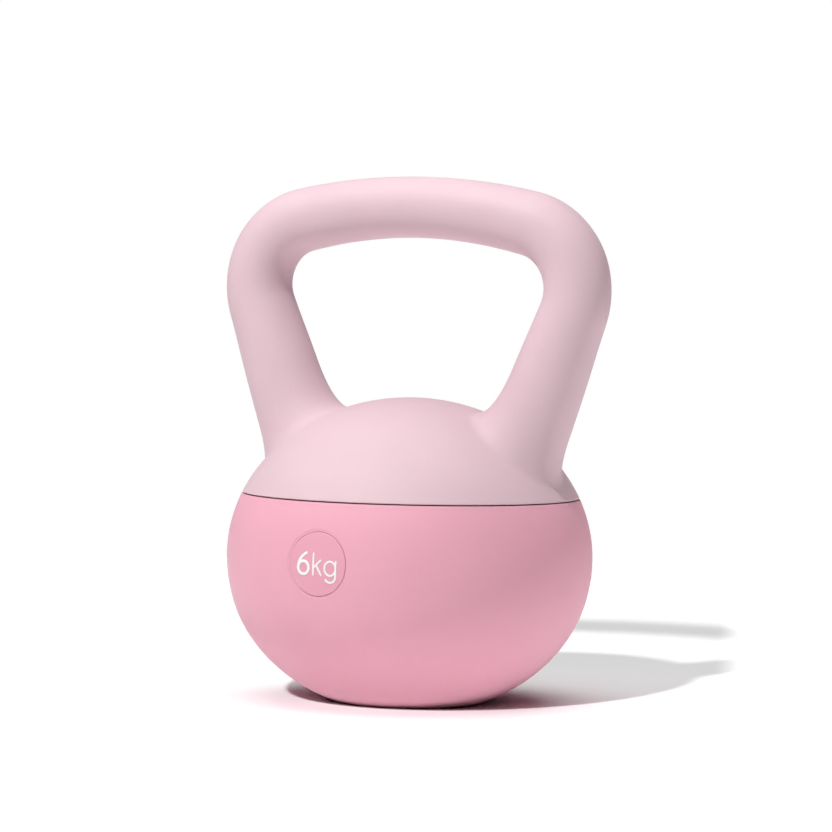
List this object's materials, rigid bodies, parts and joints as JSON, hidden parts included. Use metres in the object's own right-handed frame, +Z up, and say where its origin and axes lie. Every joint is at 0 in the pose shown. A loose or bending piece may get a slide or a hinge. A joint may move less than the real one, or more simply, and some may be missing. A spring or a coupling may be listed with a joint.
{
  "type": "kettlebell",
  "caption": "Free weight: a round ball with a flat foot, a soft lower bowl, a hard upper dome and a wide looped grip moulded in one with the dome.",
  "frame": {"origin": "centre of the flat foot, on the floor", "axes": "+Z up; the handle lies in the XZ plane; -Y faces the user and carries the weight badge"},
  "size_m": [0.2028, 0.1749, 0.251],
  "materials": {
    "light_pink_moulding": "soft satin moulding with a very fine grain",
    "deep_pink_soft_vinyl": "soft matte vinyl with a very fine grain",
    "badge_pink": "smooth satin disc with a plain raised weight figure",
    "dark_rubber": "matte sealing rubber",
    "zinc_steel": "zinc-plated mild steel",
    "natural_plastic": "unpigmented rigid plastic",
    "iron_sand": "loose dark iron sand, packed"
  },
  "bodies": {
    "root": {"upper_shell": "light_pink_moulding", "handle_core": "zinc_steel", "core_collar_left": "zinc_steel", "core_collar_right": "zinc_steel", "anchor_plate": "zinc_steel", "canister_lid": "natural_plastic", "lid_screw_1": "zinc_steel", "lid_screw_2": "zinc_steel", "lid_screw_3": "zinc_steel", "lid_screw_4": "zinc_steel", "lid_screw_5": "zinc_steel", "lid_screw_6": "zinc_steel", "seam_gasket": "dark_rubber", "sand_canister": "natural_plastic", "iron_sand": "iron_sand", "filler_plug": "natural_plastic", "plug_washer": "dark_rubber", "lower_shell": "deep_pink_soft_vinyl", "base_cap": "deep_pink_soft_vinyl", "weight_badge": "badge_pink"}
  },
  "joints": []
}
